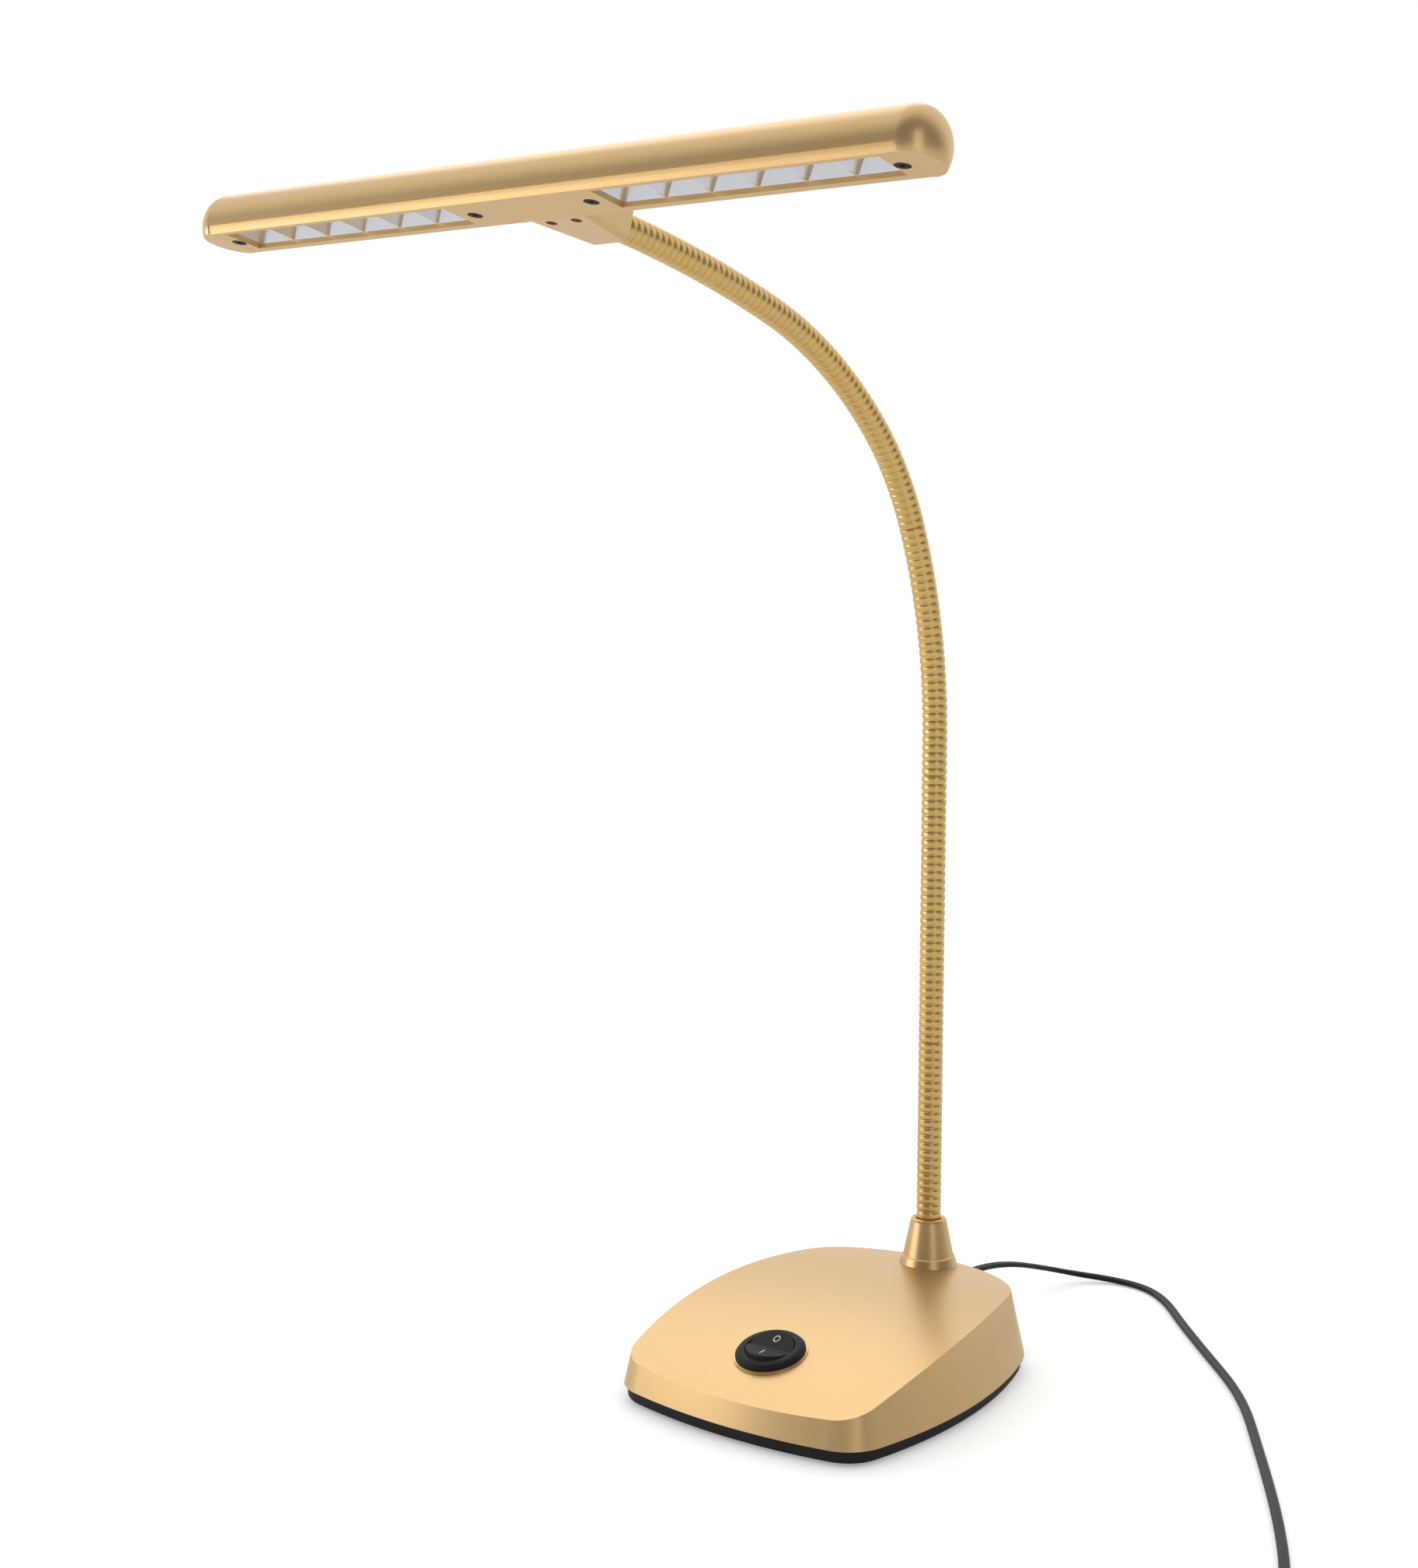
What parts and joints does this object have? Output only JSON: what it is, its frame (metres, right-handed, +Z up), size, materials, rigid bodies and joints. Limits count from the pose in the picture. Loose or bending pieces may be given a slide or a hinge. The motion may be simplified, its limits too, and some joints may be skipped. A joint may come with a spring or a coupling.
{
  "type": "piano lamp",
  "caption": "Piano lamp with a weighted base, rocker switch, ribbed gooseneck, wide LED bar head and supply lead ending in an adapter.",
  "frame": {"origin": "on the table under the middle of the lamp without its supply lead", "axes": "+X along the bar head, +Y from the front edge of the base to its back, +Z up"},
  "size_m": [0.3956, 0.4174, 0.3833],
  "materials": {
    "shell_paint": "satin",
    "neck_finish": "satin",
    "head_trim": "satin",
    "black_plastic": "matte",
    "foot_rubber": "matte",
    "lead_sheath": "satin",
    "ballast_iron": "matte",
    "plain_steel": "satin",
    "brass_metal": "satin",
    "board_green": "satin",
    "spacer_white": "matte",
    "board_white": "matte",
    "reflector_silver": "gloss",
    "lamp_yellow": "gloss"
  },
  "bodies": {
    "base": {"base_shell": "shell_paint", "neck_ferrule": "shell_paint", "neck_stretch_1": "neck_finish", "base_plate": "black_plastic", "switch_bezel": "black_plastic", "adapter_body": "black_plastic", "board_parts": "black_plastic", "rubber_feet": "foot_rubber", "cord_run": "lead_sheath", "cord_coil": "lead_sheath", "cord_tail": "lead_sheath", "cord_gland": "lead_sheath", "adapter_relief": "lead_sheath", "base_leads": "lead_sheath", "neck_lead_1": "lead_sheath", "ballast_block": "ballast_iron", "base_screws": "plain_steel", "ballast_screws": "plain_steel", "neck_stud": "plain_steel", "neck_washer": "plain_steel", "neck_nut": "plain_steel", "switch_terminals": "brass_metal", "adapter_pins": "brass_metal", "driver_board": "board_green", "board_spacers": "spacer_white"},
    "rocker": {"switch_rocker": "black_plastic"},
    "head": {"neck_stretch_7": "neck_finish", "neck_lead_7": "lead_sheath", "head_housing": "shell_paint", "end_cap_left": "shell_paint", "end_cap_right": "shell_paint", "head_cover": "head_trim", "cover_screws": "plain_steel", "reflector_left": "reflector_silver", "reflector_right": "reflector_silver", "led_board_left": "board_white", "led_board_right": "board_white", "leds": "lamp_yellow", "head_bracket": "head_trim", "bracket_screws": "plain_steel", "head_screws": "plain_steel", "head_lead": "lead_sheath"},
    "neck_2": {"neck_stretch_2": "neck_finish", "neck_lead_2": "lead_sheath"},
    "neck_3": {"neck_stretch_3": "neck_finish", "neck_lead_3": "lead_sheath"},
    "neck_4": {"neck_stretch_4": "neck_finish", "neck_lead_4": "lead_sheath"},
    "neck_5": {"neck_stretch_5": "neck_finish", "neck_lead_5": "lead_sheath"},
    "neck_6": {"neck_stretch_6": "neck_finish", "neck_lead_6": "lead_sheath"}
  },
  "joints": [
    {"name": "lean_side", "type": "hinge", "parent": "base", "child": "neck_2", "pos_m": [0, 0.09864, 0.06], "axis": [0, 1, 0], "range_deg": [-20, 20]},
    {"name": "bend_low_first", "type": "hinge", "parent": "neck_2", "child": "neck_3", "pos_m": [0, 0.09864, 0.154], "axis": [1, 0, 0], "range_deg": [-20, 20]},
    {"name": "bend_low_second", "type": "hinge", "parent": "neck_3", "child": "neck_4", "pos_m": [0, 0.09491, 0.24874], "axis": [1, 0, 0], "range_deg": [-20, 20]},
    {"name": "bend_high_first", "type": "hinge", "parent": "neck_4", "child": "neck_5", "pos_m": [0, 0.0585, 0.31848], "axis": [1, 0, 0], "range_deg": [-20, 20]},
    {"name": "bend_high_second", "type": "hinge", "parent": "neck_5", "child": "neck_6", "pos_m": [0, 0.00264, 0.35076], "axis": [1, 0, 0], "range_deg": [-20, 20]},
    {"name": "head_swing", "type": "hinge", "parent": "neck_6", "child": "head", "pos_m": [0, -0.06324, 0.36744], "axis": [0, 0.2079, 0.9781], "range_deg": [-20, 20]},
    {"name": "rocker_tip", "type": "hinge", "parent": "base", "child": "rocker", "pos_m": [0, 0.00539, 0.02079], "axis": [1, 0, 0], "range_deg": [-22, 0]}
  ],
  "couplings": [
    {"joint": "bend_low_second", "follows": "bend_low_first", "ratio": 1},
    {"joint": "bend_high_second", "follows": "bend_high_first", "ratio": 1}
  ]
}
